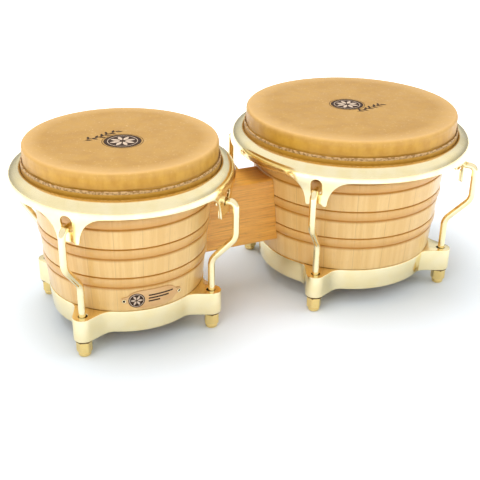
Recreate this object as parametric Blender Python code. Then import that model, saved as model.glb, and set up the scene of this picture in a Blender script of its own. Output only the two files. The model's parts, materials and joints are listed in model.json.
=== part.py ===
"""Bongo drums: a small and a large conical drum on one centre block, free to tune.

Metres, +Z up. The origin is on the floor under the middle of the pair. The small drum (macho) is
at -X and the large one (hembra) at +X. The badge faces -Y. Each drum is built round its own
vertical axis, and every round piece of a drum has the same number of facets, so that nested
pieces keep an even gap.
"""

import math
from collections import namedtuple

import bmesh
import bpy
from mathutils import Matrix, Vector

# ---- Driving dimensions ---------------------------------------------------------------------
GAP = 0.0003  # left between pieces that touch
FACETS = 32  # round a drum, a multiple of 8 so that each lug is on a corner
HEAD_HEIGHT = 0.188  # playing surface above the floor
DRUM_SPACING = 0.2543  # between the two drum axes

Drum = namedtuple("Drum", "name skin_radius shell_top_radius shell_foot_radius")
MACHO = Drum("macho", 0.0935, 0.0917, 0.0732)
HEMBRA = Drum("hembra", 0.1110, 0.1082, 0.0904)

HIDE = 0.0015  # thickness of the skin
SHOULDER = 0.006  # radius where the skin turns down over the shell
SHOULDER_STEPS = 3
FLAP_TOP = 0.1724  # cut edge of the lap
HOOP_LOW, HOOP_SIZE = 0.1515, 0.005
SHELL_TOP = HEAD_HEIGHT - HIDE - GAP
SHELL_WALL = 0.010
BEARING_EDGE = SHOULDER - HIDE - GAP  # the shell's rounded rim follows the skin's shoulder
INNER_EDGE = 0.003

RIM_REACH = 0.0163  # rim's outside beyond the skin's
RIM_SKIRT_LOW = 0.151
RIM_CREST = ((0, 0.1632), (0.0034, 0.1657), (0.0079, 0.1645))  # (out from the rim's inside, height)
RIM_BROW = ((0.0021, 0.1613), (0.0003, 0.1565), (0, RIM_SKIRT_LOW))  # (in from its outside, height)
RIM_UNDER = ((0.0028, RIM_SKIRT_LOW), (0.0030, 0.1560), (0.0048, 0.1598), (0.0078, 0.1622))
RIM_NOSE_THICK, RIM_NOSE_HIGH = 0.0028, 0.1624

BEAD_HEIGHTS = (0.0735, 0.1046, 0.1361)  # middle of each turned bead
BEAD_HALF = 0.005  # from its middle to each V-groove
GROOVE_HALF, GROOVE_DEPTH = 0.0012, 0.0012

RING_LOW, RING_HIGH = 0.0181, 0.0418
RING_SEAT = 0.002  # depth that the shell is turned down for the ring
RING_PROUD = 0.0008
RING_LIP_THICK, RING_LIP_REACH = 0.0017, 0.004
CUT_OVER = 0.001  # how far a cutter runs past the face that it opens

LUG_ANGLES = (45, 135, 225, 315)  # degrees round each drum from +X
LUG_INSET = 0.0007  # lug axis inside the skin's radius
BOSS_RADIUS, BOSS_FLARE = 0.0097, 0.019
BOSS_NOSE_ANGLE = 72  # the round nose turns this far to each side before the flanks leave it
BOSS_SET_IN = 0.0001  # the bosses stop just inside the ring's two faces
BOSS_HOLE_RADIUS = 0.006
ROD_RADIUS = 0.0034
THREAD_RADIUS = 0.0031
NUT_ACROSS_FLATS, NUT_HEIGHT, NUT_BORE_RADIUS = 0.0136, 0.0160, 0.0035
CHAMFER_SLOPE = 0.6  # depth of a nut's chamfer to its width
WASHER_RADIUS, WASHER_HOLE_RADIUS, WASHER_THICK = 0.0085, 0.0041, 0.0015

EAR_LOW, EAR_HALF = 0.1265, 0.011  # bottom edge of the ear and its half width there
EAR_OUT, EAR_THICK = 0.0145, 0.003  # ear's outer face beyond the skin's radius
EAR_ROOT_HIGH = 0.1555  # the ear's plate reaches up inside the rim to here
EAR_SWEEP = ((0.027, 0.152), (0.0185, 0.1468), (0.015, 0.1415), (0.0122, 0.133))  # (offset, height)
WINDOW_HALF, WINDOW_LOW, WINDOW_HIGH = 0.006, 0.1356, 0.1525
WINDOW_DEPTH = (0.008, RIM_REACH + 0.002)  # reach of its cutter beyond the skin's radius
PRONG_LOW, PRONG_IN = 0.124, 0.0065  # foot and inner side of the two prongs
PRONG_CHAMFER = 0.001
FLANGE_DEPTH, FLANGE_INSET, FLANGE_HIGH = 0.005, 0.0005, 0.138  # each prong is folded inwards

HOOK_LEG_OUT = 0.0243  # the hook's upper leg beyond the skin's radius
HOOK_TOP = 0.1397  # middle line of the rod where it passes over the bar of the ear
HOOK_BEND, HOOK_TURN = 0.006, 0.0045  # radius of its bend in front of the ear and behind it
HOOK_IN, HOOK_TIP_LONG = 0.010, 0.0015  # where it turns down behind the ear, and its straight tip
HOOK_SWEEP_HIGH = 0.109  # where the rod starts to sweep in to the lug
HOOK_SWEEP_RADIUS, HOOK_SWEEP_ANGLE = 0.016, 42
HOOK_THREAD_TOP, HOOK_FOOT = 0.036, 0.003
HOOK_STEP = 0.0008  # length over which the rod narrows to its thread

BLOCK_HALF_WIDTH, BLOCK_LOW, BLOCK_HIGH = 0.021, 0.0585, 0.1285
BLOCK_ROUND = 0.003
BOLT_HEIGHTS = {"upper": 0.112, "lower": 0.075}
BOLT_RADIUS, BOLT_HOLE_RADIUS = 0.004, 0.0043
BOLT_WASHER_RADIUS, BOLT_WASHER_THICK = 0.009, 0.0016
BOLT_HEAD_RADIUS, BOLT_HEAD_HIGH = 0.0075, 0.0055
BOLT_NUT_ACROSS_FLATS, BOLT_NUT_THICK, BOLT_END = 0.013, 0.0065, 0.003
BOLT_WASHER_STANDOFF = 0.0021  # the flat washer bridges the curve and slope of the wall

BADGE_HEIGHT, BADGE_HALF_LONG, BADGE_HALF_TALL = 0.0543, 0.0245, 0.0097
BADGE_THICK = 0.0008
BADGE_TAB_HALF, BADGE_FLAT_HALF = 0.0032, 0.012  # a tab's half width; half length of the straight sides
BADGE_BOW = 0.0107  # radius of its bowed ends
BADGE_BAND = (-0.014, 0.012)  # the band that it is cut from, below and above its middle
PIN_OFFSET, PIN_RADIUS, PIN_HEAD_RADIUS, PIN_LENGTH = 0.0275, 0.0009, 0.0019, 0.007
PIN_DOME = ((0, 0.0011), (0.65, 0.0008), (1, 0.0002))  # (share of the head's radius, height on its face)

MACHO_RIM = MACHO.skin_radius + RIM_REACH
HEMBRA_RIM = HEMBRA.skin_radius + RIM_REACH
MACHO_X = -(DRUM_SPACING + HEMBRA_RIM - MACHO_RIM) / 2
DRUM_X = {"macho": MACHO_X, "hembra": MACHO_X + DRUM_SPACING}

WOOD = ((0.78, 0.52, 0.27), 0.38, 0.0)
DARK_WOOD = ((0.56, 0.28, 0.11), 0.40, 0.0)
RAWHIDE = ((0.74, 0.52, 0.31), 0.55, 0.0)
GOLD = ((0.92, 0.77, 0.45), 0.18, 1.0)
STEEL = ((0.62, 0.62, 0.62), 0.35, 1.0)
PLATE = ((0.80, 0.62, 0.45), 0.40, 0.3)


# ---- Tools -----------------------------------------------------------------------------------
def clear_scene():
    for item in list(bpy.data.objects):
        bpy.data.objects.remove(item, do_unlink=True)


def add_object(name, mesh, finish, place=(0, 0, 0), turn=0.0, parent=None):
    """Links a mesh as an object with a Principled material of its own."""
    item = bpy.data.objects.new(name, mesh)
    bpy.context.scene.collection.objects.link(item)
    item.location = place
    item.rotation_euler = (0, 0, math.radians(turn))
    item.parent = parent
    if finish:
        colour, roughness, metallic = finish
        material = bpy.data.materials.new(name)
        material.use_nodes = True
        shader = material.node_tree.nodes["Principled BSDF"]
        shader.inputs["Base Color"].default_value = (*colour, 1)
        shader.inputs["Roughness"].default_value = roughness
        shader.inputs["Metallic"].default_value = metallic
        mesh.materials.append(material)
    return item


def add_empty(name, place):
    item = bpy.data.objects.new(name, None)
    bpy.context.scene.collection.objects.link(item)
    item.location = place
    return item


def line_mesh(name, points, closed):
    mesh = bpy.data.meshes.new(name)
    count = len(points)
    edges = [(i, (i + 1) % count) for i in range(count if closed else count - 1)]
    mesh.from_pydata([(x, 0, z) for x, z in points], edges, [])
    return mesh


def turned(name, points, finish, place=(0, 0, 0), parent=None, facets=FACETS, closed=True):
    """A lathe-turned piece. The profile's points are (radius, height), down its outer side."""
    item = add_object(name, line_mesh(name, points, closed), finish, place, 0, parent)
    screw = item.modifiers.new("Turn", "SCREW")
    screw.steps = screw.render_steps = facets
    screw.use_merge_vertices = True
    screw.merge_threshold = 0.00001
    screw.use_smooth_shade = True
    return item


def add_prism(bm, outline, low, high, matrix):
    """Extrudes an outline of (u, v) points along w, then places it with the matrix."""
    corners = [bm.verts.new(matrix @ Vector((u, v, low))) for u, v in outline]
    face = bm.faces.new(corners)
    moved = bmesh.ops.extrude_face_region(bm, geom=[face])["geom"]
    sweep = matrix.to_3x3() @ Vector((0, 0, high - low))
    bmesh.ops.translate(bm, vec=sweep, verts=[v for v in moved if isinstance(v, bmesh.types.BMVert)])
    bmesh.ops.recalc_face_normals(bm, faces=bm.faces)


def mesh_of(name, bm):
    mesh = bpy.data.meshes.new(name)
    bm.to_mesh(mesh)
    bm.free()
    return mesh


def prisms(name, outline, low, high, matrices):
    """One helper mesh of the same prism at each place."""
    bm = bmesh.new()
    for matrix in matrices:
        add_prism(bm, outline, low, high, matrix)
    return mesh_of(name, bm)


def combine(item, operation, helper):
    step = item.modifiers.new(helper.name, "BOOLEAN")
    step.operation = operation
    step.object = helper
    helper.hide_render = True
    helper.display_type = "WIRE"


def arc(centre, radius, start, end, steps):
    """Points from start to end degrees round a centre, both ends included."""
    cx, cz = centre
    angles = [math.radians(start + (end - start) * i / steps) for i in range(steps + 1)]
    return [(cx + radius * math.cos(a), cz + radius * math.sin(a)) for a in angles]


def disc(radius, count):
    return arc((0, 0), radius, 0, 360 - 360 / count, count - 1)


def facing_out(angle):
    """u runs round the drum, v runs up and w runs out from its axis."""
    turn = Matrix.Rotation(math.radians(angle), 4, "Z")
    frame = Matrix(((0, 0, 1, 0), (1, 0, 0, 0), (0, 1, 0, 0), (0, 0, 0, 1)))
    return turn @ frame


def along_x(height):
    """u runs along Y, v along Z and w along X, from this height."""
    return Matrix(((0, 0, 1, 0), (1, 0, 0, 0), (0, 1, 0, height), (0, 0, 0, 1)))


def upright(radius, angle):
    turn = Matrix.Rotation(math.radians(angle), 4, "Z")
    return turn @ Matrix.Translation((radius, 0, 0))


# ---- Each drum -------------------------------------------------------------------------------
def shell_radius(drum, height):
    """The shell is a plain cone outside."""
    share = height / SHELL_TOP
    return drum.shell_foot_radius + (drum.shell_top_radius - drum.shell_foot_radius) * share


def make_shell(drum, axis):
    foot = RING_LOW + RING_LIP_THICK + GAP
    shoulder = RING_HIGH + GAP
    centre = (drum.shell_top_radius - BEARING_EDGE, SHELL_TOP - BEARING_EDGE)
    points = arc(centre, BEARING_EDGE, 90, 0, SHOULDER_STEPS)
    for middle in reversed(BEAD_HEIGHTS):
        for groove in (middle + BEAD_HALF, middle - BEAD_HALF):
            points.append((shell_radius(drum, groove + GROOVE_HALF), groove + GROOVE_HALF))
            points.append((shell_radius(drum, groove) - GROOVE_DEPTH, groove))
            points.append((shell_radius(drum, groove - GROOVE_HALF), groove - GROOVE_HALF))
    points.append((shell_radius(drum, shoulder), shoulder))
    points.append((shell_radius(drum, shoulder) - RING_SEAT, shoulder))
    points.append((shell_radius(drum, foot) - RING_SEAT, foot))
    points.append((shell_radius(drum, foot) - SHELL_WALL, foot))
    points.append((drum.shell_top_radius - SHELL_WALL, SHELL_TOP - INNER_EDGE))
    points.append((drum.shell_top_radius - SHELL_WALL + INNER_EDGE, SHELL_TOP))
    shell = turned(f"{drum.name}_shell", points, WOOD, axis)

    side = 1 if drum is MACHO else -1
    ends = sorted((side * (drum.shell_foot_radius - 2 * SHELL_WALL), side * drum.skin_radius))
    matrices = [along_x(height) for height in BOLT_HEIGHTS.values()]
    holes = prisms(f"{drum.name}_bolt_holes", disc(BOLT_HOLE_RADIUS, 16), *ends, matrices)
    combine(shell, "DIFFERENCE", add_object(holes.name, holes, None, axis))
    if drum is MACHO:
        reach = (shell_radius(drum, BADGE_HEIGHT) - PIN_LENGTH - GAP, drum.skin_radius)
        matrices = [facing_out(angle) @ Matrix.Translation((0, BADGE_HEIGHT, 0)) for angle in pin_angles()]
        holes = prisms("pin_holes", disc(PIN_RADIUS + GAP, 8), *reach, matrices)
        combine(shell, "DIFFERENCE", add_object(holes.name, holes, None, axis))
    return shell


def make_skin(drum, axis):
    """The hide covers the head, turns down, wraps the hoop and laps back up to a cut edge."""
    edge = drum.skin_radius
    inner = edge - HIDE
    wrap_low = HOOP_LOW - GAP
    wrap_high = HOOP_LOW + HOOP_SIZE + GAP
    wrap_out = edge + HOOP_SIZE + 2 * GAP
    flap_in = edge + GAP
    points = [(0, HEAD_HEIGHT)]
    points += arc((edge - SHOULDER, HEAD_HEIGHT - SHOULDER), SHOULDER, 90, 0, SHOULDER_STEPS)
    points += [(edge, wrap_low), (wrap_out, wrap_low), (wrap_out, wrap_high), (flap_in, wrap_high)]
    points += [(flap_in, FLAP_TOP), (flap_in + HIDE, FLAP_TOP), (flap_in + HIDE, wrap_high + HIDE)]
    points += [(wrap_out + HIDE, wrap_high + HIDE), (wrap_out + HIDE, wrap_low - HIDE)]
    points += [(inner, wrap_low - HIDE)]
    points += arc((edge - SHOULDER, HEAD_HEIGHT - SHOULDER), SHOULDER - HIDE, 0, 90, SHOULDER_STEPS)
    points += [(0, HEAD_HEIGHT - HIDE)]
    turned(f"{drum.name}_skin", points, RAWHIDE, axis, closed=False)


def make_hoop(drum, axis):
    low, high = HOOP_LOW, HOOP_LOW + HOOP_SIZE
    inside, outside = drum.skin_radius + GAP, drum.skin_radius + GAP + HOOP_SIZE
    points = [(outside, high), (outside, low), (inside, low), (inside, high)]
    turned(f"{drum.name}_flesh_hoop", points, STEEL, axis)


def ear_outline():
    """Half of the ear as (offset, height), from the rim down, then mirrored."""
    half = [(EAR_SWEEP[0][0], EAR_ROOT_HIGH), *EAR_SWEEP]
    half += [(EAR_HALF, PRONG_LOW), (PRONG_IN, PRONG_LOW), (PRONG_IN - PRONG_CHAMFER, EAR_LOW)]
    return half + [(-u, v) for u, v in reversed(half)]


def window_outline():
    """An arch: straight sides under a half circle."""
    spring = WINDOW_HIGH - WINDOW_HALF
    half = WINDOW_HALF
    return arc((0, spring), half, 0, 180, 6) + [(-half, WINDOW_LOW), (half, WINDOW_LOW)]


def make_rim(drum, lift):
    edge = drum.skin_radius
    rest = HOOP_LOW + HOOP_SIZE + 2 * GAP + HIDE  # the rim presses the lap over the hoop
    inside = edge + 2 * GAP + HIDE
    outside = edge + RIM_REACH
    points = [(inside + out, high) for out, high in RIM_CREST]
    points += [(outside - into, high) for into, high in RIM_BROW + RIM_UNDER]
    points += [(inside + RIM_NOSE_THICK, RIM_NOSE_HIGH), (inside + RIM_NOSE_THICK, rest), (inside, rest)]
    rim = turned(f"{drum.name}_rim", points, GOLD, parent=lift)

    high, low = edge + EAR_OUT, edge + EAR_OUT - EAR_THICK
    top, foot = EAR_ROOT_HIGH - 0.0005, PRONG_LOW - GAP
    band = [(high, top), (high, foot), (low, foot), (low, top)]
    ears = turned(f"{drum.name}_ears", band, None, parent=lift)
    matrices = [facing_out(angle) for angle in LUG_ANGLES]
    shape = prisms(f"{drum.name}_ear_shape", ear_outline(), edge, outside, matrices)
    combine(ears, "INTERSECT", add_object(shape.name, shape, None, parent=lift))
    combine(rim, "UNION", ears)

    far, near, foot = EAR_HALF - FLANGE_INSET, PRONG_IN + FLANGE_INSET, PRONG_LOW + FLANGE_INSET
    flange = [(far, FLANGE_HIGH), (far, foot), (near, foot), (near, FLANGE_HIGH)]
    depth = (edge + EAR_OUT - FLANGE_DEPTH, edge + EAR_OUT - EAR_THICK / 2)
    bm = bmesh.new()
    for matrix in matrices:
        for side in (1, -1):
            add_prism(bm, [(side * u, v) for u, v in flange], *depth, matrix)
    flanges = mesh_of(f"{drum.name}_flanges", bm)
    combine(rim, "UNION", add_object(flanges.name, flanges, None, parent=lift))

    reach = (edge + WINDOW_DEPTH[0], edge + WINDOW_DEPTH[1])
    windows = prisms(f"{drum.name}_windows", window_outline(), *reach, matrices)
    combine(rim, "DIFFERENCE", add_object(windows.name, windows, None, parent=lift))


def make_bottom_ring(drum, axis):
    """A cast band round the foot of the shell, with a lip under it and four bosses."""
    seat_high = RING_HIGH + CUT_OVER
    points = [(0, RING_HIGH), (shell_radius(drum, RING_HIGH) + RING_PROUD, RING_HIGH)]
    points += [(shell_radius(drum, RING_LOW) + RING_PROUD, RING_LOW), (0, RING_LOW)]
    ring = turned(f"{drum.name}_bottom_ring", points, GOLD, axis, closed=False)

    lug = drum.skin_radius - LUG_INSET
    root = shell_radius(drum, RING_LOW) - SHELL_WALL / 2
    nose = arc((lug, 0), BOSS_RADIUS, -BOSS_NOSE_ANGLE, BOSS_NOSE_ANGLE, 8)
    outline = [(root, -BOSS_FLARE), *nose, (root, BOSS_FLARE)]
    matrices = [Matrix.Rotation(math.radians(angle), 4, "Z") for angle in LUG_ANGLES]
    low, high = RING_LOW + BOSS_SET_IN, RING_HIGH - BOSS_SET_IN
    bosses = prisms(f"{drum.name}_bosses", outline, low, high, matrices)
    combine(ring, "UNION", add_object(bosses.name, bosses, None, axis))

    lip_top = RING_LOW + RING_LIP_THICK
    seat = RING_SEAT - GAP
    lip_radius = shell_radius(drum, RING_LOW) - RING_SEAT - RING_LIP_REACH
    points = [(0, seat_high), (shell_radius(drum, seat_high) - seat, seat_high)]
    points += [(shell_radius(drum, lip_top) - seat, lip_top), (lip_radius, lip_top)]
    points += [(lip_radius, RING_LOW - CUT_OVER), (0, RING_LOW - CUT_OVER)]
    seat_cut = turned(f"{drum.name}_ring_seat", points, None, axis, closed=False)
    combine(ring, "DIFFERENCE", seat_cut)

    matrices = [upright(lug, angle) for angle in LUG_ANGLES]
    span = (RING_LOW - CUT_OVER, RING_HIGH + CUT_OVER)
    holes = prisms(f"{drum.name}_boss_holes", disc(BOSS_HOLE_RADIUS, 16), *span, matrices)
    combine(ring, "DIFFERENCE", add_object(holes.name, holes, None, axis))


def hook_route():
    """The rod's middle line as (offset out from the lug's axis, height), from its tip to its foot."""
    leg = HOOK_LEG_OUT + LUG_INSET
    inside = HOOK_IN + LUG_INSET
    turned_down = HOOK_TOP - HOOK_TURN
    route = [(inside - HOOK_TURN, turned_down - HOOK_TIP_LONG)]
    route += arc((inside, turned_down), HOOK_TURN, 180, 90, 3)
    route += arc((leg - HOOK_BEND, HOOK_TOP - HOOK_BEND), HOOK_BEND, 90, 0, 4)
    radius, angle = HOOK_SWEEP_RADIUS, HOOK_SWEEP_ANGLE
    route += arc((leg - radius, HOOK_SWEEP_HIGH), radius, 0, -angle, 3)
    lean = math.radians(angle)
    slope = (leg - 2 * radius * (1 - math.cos(lean))) / math.tan(lean)
    foot = HOOK_SWEEP_HIGH - 2 * radius * math.sin(lean) - slope
    route += arc((radius, foot), radius, 180 - angle, 180, 3)
    return route + [(0, HOOK_THREAD_TOP), (0, HOOK_THREAD_TOP - HOOK_STEP), (0, HOOK_FOOT)]


def make_hook(drum, number, angle, lift):
    """One tuning hook. Its origin is on its lug's axis."""
    lug = drum.skin_radius - LUG_INSET
    curve = bpy.data.curves.new(f"{drum.name}_tuning_hook_{number}", "CURVE")
    curve.dimensions = "3D"
    curve.bevel_depth = ROD_RADIUS
    curve.bevel_resolution = 2
    curve.use_fill_caps = True
    spline = curve.splines.new("POLY")
    route = hook_route()
    spline.points.add(len(route) - 1)
    for point, (out, high) in zip(spline.points, route):
        point.co = (out, 0, high, 1)
        point.radius = THREAD_RADIUS / ROD_RADIUS if high < HOOK_THREAD_TOP else 1.0
    turn = math.radians(angle)
    place = (lug * math.cos(turn), lug * math.sin(turn), 0)
    add_object(curve.name, curve, GOLD, place, angle, lift)


def make_washer(drum, number, place):
    low = RING_LOW - GAP - WASHER_THICK
    high = RING_LOW - GAP
    inside, outside = WASHER_HOLE_RADIUS, WASHER_RADIUS
    points = [(outside, high), (outside, low), (inside, low), (inside, high)]
    turned(f"{drum.name}_washer_{number}", points, GOLD, place, facets=12)


def hex_outline(across_flats):
    return disc(across_flats / 2 / math.cos(math.pi / 6), 6)


def hex_nut(name, across_flats, thick, bore, finish, place, turn=0.0):
    """A hexagon with a bore, its two faces chamfered to a circle."""
    flat = across_flats / 2
    bm = bmesh.new()
    add_prism(bm, hex_outline(across_flats), 0, thick, Matrix.Identity(4))
    nut = add_object(name, mesh_of(name, bm), finish, place, turn)
    corner = flat / math.cos(math.pi / 6)
    drop = (corner - flat) * CHAMFER_SLOPE
    points = [(bore, thick + GAP), (flat, thick + GAP), (corner + GAP, thick - drop)]
    points += [(corner + GAP, drop), (flat, -GAP), (bore, -GAP)]
    barrel = turned(f"{name}_barrel", points, None, place, facets=12)
    combine(nut, "INTERSECT", barrel)
    return nut


def make_drum(drum):
    axis = (DRUM_X[drum.name], 0, 0)
    lift = add_empty(f"{drum.name}_rim_lift", axis)
    make_shell(drum, axis)
    make_skin(drum, axis)
    make_hoop(drum, axis)
    make_rim(drum, lift)
    make_bottom_ring(drum, axis)
    lug = drum.skin_radius - LUG_INSET
    for number, angle in enumerate(LUG_ANGLES, 1):
        make_hook(drum, number, angle, lift)
        turn = math.radians(angle)
        place = (DRUM_X[drum.name] + lug * math.cos(turn), lug * math.sin(turn), 0)
        make_washer(drum, number, place)
        name = f"{drum.name}_tuning_nut_{number}"
        hex_nut(name, NUT_ACROSS_FLATS, NUT_HEIGHT, NUT_BORE_RADIUS, GOLD, place, angle)


# ---- Centre block and its fasteners ----------------------------------------------------------
def make_block():
    left = DRUM_X["macho"] + MACHO.shell_foot_radius
    right = DRUM_X["hembra"] - HEMBRA.shell_foot_radius
    bm = bmesh.new()
    w, low, high = BLOCK_HALF_WIDTH, BLOCK_LOW, BLOCK_HIGH
    add_prism(bm, [(-w, low), (w, low), (w, high), (-w, high)], left, right, along_x(0))
    long_edges = [e for e in bm.edges if abs(e.verts[0].co.x - e.verts[1].co.x) > BLOCK_ROUND]
    bmesh.ops.bevel(bm, geom=long_edges, offset=BLOCK_ROUND, segments=2, profile=0.5, affect="EDGES")
    block = add_object("centre_block", mesh_of("centre_block", bm), DARK_WOOD)
    for drum in (MACHO, HEMBRA):
        high = shell_radius(drum, SHELL_TOP) + GAP
        low = shell_radius(drum, RING_LOW) + GAP
        points = [(0, SHELL_TOP), (high, SHELL_TOP), (low, RING_LOW), (0, RING_LOW)]
        place = (DRUM_X[drum.name], 0, 0)
        cone = turned(f"{drum.name}_cone", points, None, place, closed=False)
        combine(block, "DIFFERENCE", cone)
    matrices = [along_x(height) for height in BOLT_HEIGHTS.values()]
    holes = prisms("block_bolt_holes", disc(BOLT_HOLE_RADIUS, 16), left, right, matrices)
    combine(block, "DIFFERENCE", add_object(holes.name, holes, None))


def make_bolt(level, height):
    """A round-headed bolt from inside the macho to a washer and nut inside the hembra."""
    head_wall = DRUM_X["macho"] + shell_radius(MACHO, height) - SHELL_WALL
    nut_wall = DRUM_X["hembra"] - shell_radius(HEMBRA, height) + SHELL_WALL
    head_face = head_wall - BOLT_WASHER_STANDOFF
    nut_face = nut_wall + BOLT_WASHER_STANDOFF
    washer = BOLT_WASHER_THICK
    start = head_face - washer - GAP
    end = nut_face + washer + GAP + BOLT_NUT_THICK + BOLT_END

    points = [(0, end), (BOLT_RADIUS, end), (BOLT_RADIUS, start), (BOLT_HEAD_RADIUS, start)]
    dome = ((1.0, 0.3), (0.6, 0.85), (0.0, 1.0))  # shares of the head's radius and height
    points += [(BOLT_HEAD_RADIUS * wide, start - BOLT_HEAD_HIGH * tall) for wide, tall in dome]
    lying(turned(f"block_bolt_{level}", points, STEEL, (0, 0, height), facets=16, closed=False))

    for name, face in (("macho", head_face - washer), ("hembra", nut_face)):
        points = [(BOLT_WASHER_RADIUS, face + washer), (BOLT_WASHER_RADIUS, face)]
        points += [(BOLT_HOLE_RADIUS, face), (BOLT_HOLE_RADIUS, face + washer)]
        lying(turned(f"block_washer_{name}_{level}", points, STEEL, (0, 0, height), facets=16))

    nut_place = (nut_face + washer + GAP, 0, height)
    size = (BOLT_NUT_ACROSS_FLATS, BOLT_NUT_THICK, BOLT_HOLE_RADIUS)
    lying(hex_nut(f"block_nut_{level}", *size, STEEL, nut_place))
    lying(bpy.data.objects[f"block_nut_{level}_barrel"])


def lying(item):
    """Lays a piece turned about Z along +X."""
    item.rotation_euler = (0, math.radians(90), 0)


# ---- Badge on the macho ----------------------------------------------------------------------
def pin_angles():
    swing = math.degrees(PIN_OFFSET / shell_radius(MACHO, BADGE_HEIGHT))
    return (270 - swing, 270 + swing)


def badge_outline():
    """A long plate with bowed ends and a small tab at each end for its pin."""
    tab_end = PIN_OFFSET + BADGE_TAB_HALF
    half = [(tab_end, 0)]
    half += arc((PIN_OFFSET, 0), BADGE_TAB_HALF, 30, 60, 1)
    half += [(BADGE_HALF_LONG, BADGE_TAB_HALF)]
    half += arc((BADGE_HALF_LONG - BADGE_BOW, 0), BADGE_BOW, 32, 60, 3)
    half += [(BADGE_FLAT_HALF, BADGE_HALF_TALL)]
    right = [(u, -v) for u, v in reversed(half[1:])] + half
    left = [(-u, v) for u, v in reversed(right)]
    return right + left


def make_badge():
    place = (DRUM_X["macho"], 0, 0)
    low, high = (BADGE_HEIGHT + reach for reach in BADGE_BAND)
    low_in = shell_radius(MACHO, low) + GAP
    high_in = shell_radius(MACHO, high) + GAP
    points = [(high_in + BADGE_THICK, high), (low_in + BADGE_THICK, low), (low_in, low), (high_in, high)]
    plate = turned("badge_plate", points, PLATE, place)
    matrix = facing_out(270) @ Matrix.Translation((0, BADGE_HEIGHT, 0))
    outline = prisms("badge_shape", badge_outline(), low_in - 0.02, high_in + 0.01, [matrix])
    combine(plate, "INTERSECT", add_object(outline.name, outline, None, place))
    matrices = [facing_out(angle) @ Matrix.Translation((0, BADGE_HEIGHT, 0)) for angle in pin_angles()]
    holes = prisms("badge_pin_holes", disc(PIN_RADIUS + GAP, 8), low_in - 0.01, high_in + 0.01, matrices)
    combine(plate, "DIFFERENCE", add_object(holes.name, holes, None, place))

    face = shell_radius(MACHO, BADGE_HEIGHT) + 2 * GAP + BADGE_THICK
    for number, angle in enumerate(pin_angles(), 1):
        points = [(PIN_HEAD_RADIUS * share, face + high) for share, high in PIN_DOME]
        points += [(PIN_RADIUS, face), (PIN_RADIUS, face - PIN_LENGTH + 0.001), (0, face - PIN_LENGTH)]
        pin = turned(f"badge_pin_{number}", points, GOLD, (*place[:2], BADGE_HEIGHT), facets=10, closed=False)
        pin.rotation_euler = (0, math.radians(90), math.radians(angle))


clear_scene()
make_drum(MACHO)
make_drum(HEMBRA)
make_block()
for level, height in BOLT_HEIGHTS.items():
    make_bolt(level, height)
make_badge()
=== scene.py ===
"""Bongo drums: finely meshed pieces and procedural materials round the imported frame. Metres, +Z up."""

import json
import math
from collections import namedtuple

import bmesh
import bpy
import numpy as np
from mathutils import Matrix, Vector


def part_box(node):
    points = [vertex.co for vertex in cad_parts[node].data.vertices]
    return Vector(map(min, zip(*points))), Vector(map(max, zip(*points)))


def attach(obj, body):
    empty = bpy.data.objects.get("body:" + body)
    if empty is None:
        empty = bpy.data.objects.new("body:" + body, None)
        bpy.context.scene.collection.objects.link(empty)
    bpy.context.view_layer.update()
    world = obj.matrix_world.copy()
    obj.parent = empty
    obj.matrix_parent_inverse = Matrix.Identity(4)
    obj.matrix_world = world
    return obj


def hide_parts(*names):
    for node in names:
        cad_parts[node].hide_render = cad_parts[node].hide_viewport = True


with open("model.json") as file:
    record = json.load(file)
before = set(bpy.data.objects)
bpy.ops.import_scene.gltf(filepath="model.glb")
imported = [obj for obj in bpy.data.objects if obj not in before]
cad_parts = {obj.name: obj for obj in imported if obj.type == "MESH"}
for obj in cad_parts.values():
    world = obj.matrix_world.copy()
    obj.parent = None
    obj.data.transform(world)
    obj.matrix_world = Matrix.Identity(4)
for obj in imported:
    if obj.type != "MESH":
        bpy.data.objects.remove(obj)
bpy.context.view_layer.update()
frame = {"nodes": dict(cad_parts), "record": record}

# ---- Dimensions, as the CAD has them ----
GAP = 0.0003
HEAD_HEIGHT, HIDE, SHOULDER = 0.188, 0.0015, 0.006
FLAP_TOP = 0.1724
HOOP_LOW, HOOP_SIZE = 0.1515, 0.005
SHELL_TOP = HEAD_HEIGHT - HIDE - GAP
SHELL_WALL = 0.010
RIM_SHEET = 0.0028
BEAD_HEIGHTS = (0.0735, 0.1046, 0.1361)
BEAD_HALF, BEAD_PROUD = 0.005, 0.0013
GROOVE_HALF, GROOVE_DEPTH = 0.0011, 0.0012
RING_LOW, RING_HIGH = 0.0181, 0.0418
RING_SEAT, RING_PROUD = 0.002, 0.0008
RING_LIP_THICK, RING_LIP_REACH = 0.0017, 0.004
LUG_ANGLES = (45, 135, 225, 315)
LUG_INSET = 0.0007
BOSS_RADIUS, BOSS_FLARE, BOSS_HOLE, BOSS_MOUTH = 0.0097, 0.019, 0.006, 0.0045
ROD_RADIUS, THREAD_RADIUS, THREAD_PITCH, THREAD_DEPTH = 0.0034, 0.0031, 0.00127, 0.0004
NUT_FLAT, NUT_HEIGHT, NUT_BORE = 0.0068, 0.0160, 0.0035
WASHER_RADIUS, WASHER_HOLE, WASHER_THICK = 0.0085, 0.0041, 0.0015
EAR_OUT = 0.0145
RIB_OUT, RIB_ASIDE, RIB_HEIGHT, RIB_SIZE = 0.0118, 0.0087, 0.1312, (0.0044, 0.0034, 0.0128)
WINDOW_HALF, WINDOW_LOW, WINDOW_SPRING = 0.006, 0.1356, 0.1465
HOOK_LEG_OUT, HOOK_TOP, HOOK_BEND, HOOK_TURN = 0.0243, 0.1397, 0.006, 0.0045
HOOK_IN, HOOK_TIP_LONG = 0.010, 0.0015
HOOK_SWEEP_HIGH, HOOK_SWEEP_RADIUS, HOOK_SWEEP_ANGLE = 0.109, 0.016, 42
HOOK_THREAD_TOP, HOOK_FOOT = 0.036, 0.003
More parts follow.
